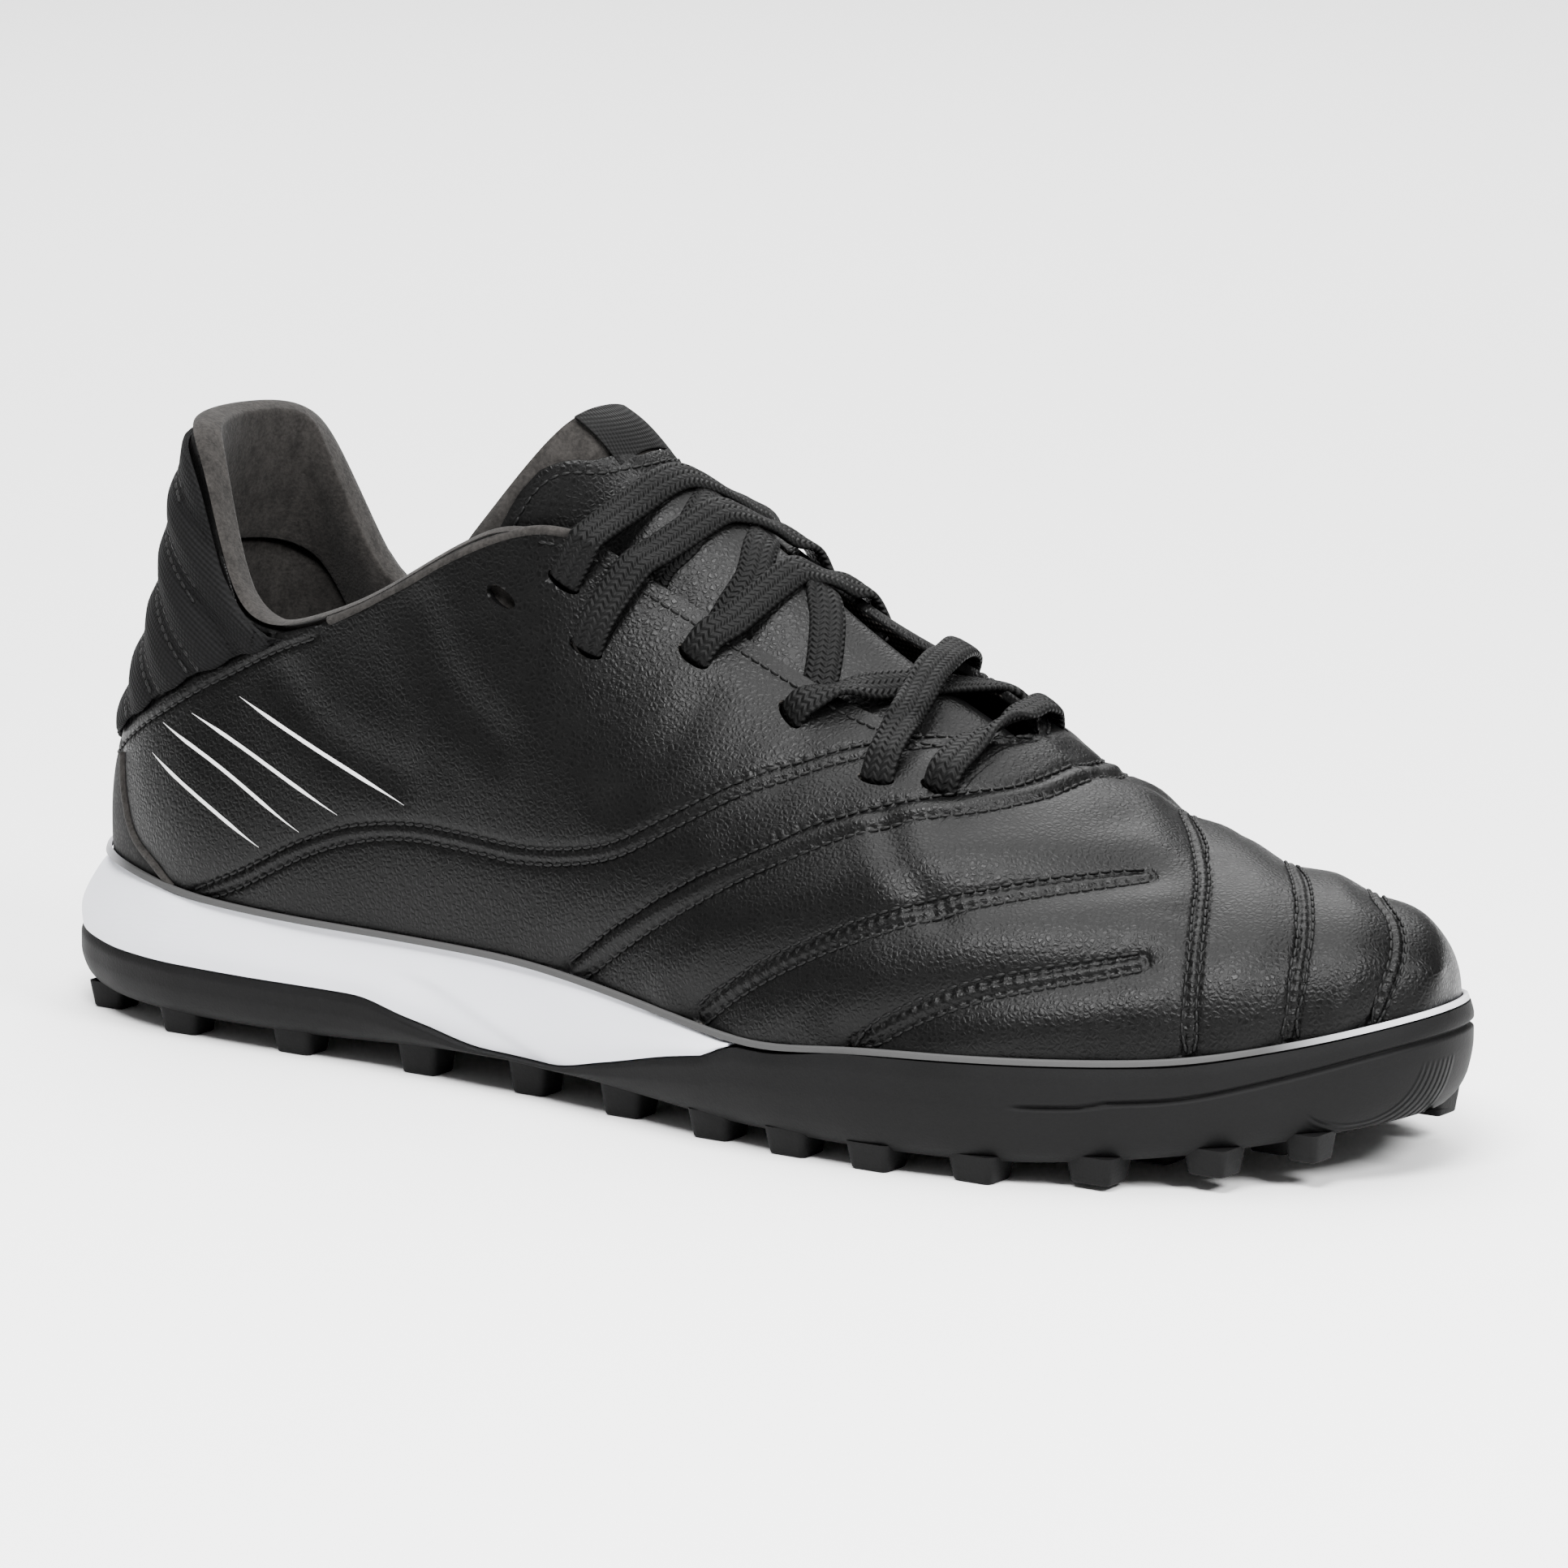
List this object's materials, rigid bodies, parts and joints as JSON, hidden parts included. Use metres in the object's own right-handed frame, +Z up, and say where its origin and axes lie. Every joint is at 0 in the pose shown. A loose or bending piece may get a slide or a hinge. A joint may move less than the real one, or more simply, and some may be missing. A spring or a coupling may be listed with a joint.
{
  "type": "turf shoe",
  "caption": "Low turf shoe with a lugged rubber outsole, a two-tone foam midsole, a quilted leather upper, a padded knit heel, a tongue and flat laces.",
  "frame": {"origin": "on the floor plane, at the middle of the bounding box", "axes": "+X from heel to toe, +Z up, -Y the outer side of the foot"},
  "size_m": [0.2978, 0.1047, 0.1245],
  "materials": {
    "outsole_rubber": "fine matt grain",
    "midsole_foam": "smooth satin foam",
    "rand_rubber": "smooth satin",
    "upper_leather": "semi-gloss fine grain",
    "knit_panel": "matt knit",
    "lining_suede": "suede-like nap",
    "insole_fabric": "matt weave",
    "lace_cord": "woven",
    "label_cloth": "fine weave"
  },
  "bodies": {
    "root": {"outsole": "outsole_rubber", "midsole": "midsole_foam", "rand": "rand_rubber", "upper": "upper_leather", "insole": "insole_fabric", "heel_panel": "knit_panel", "collar_lining": "lining_suede", "tongue": "upper_leather", "tongue_label": "label_cloth", "lace_top": "lace_cord", "lace_second": "lace_cord", "lace_third": "lace_cord", "lace_crossed": "lace_cord", "lace_front": "lace_cord"}
  },
  "joints": []
}
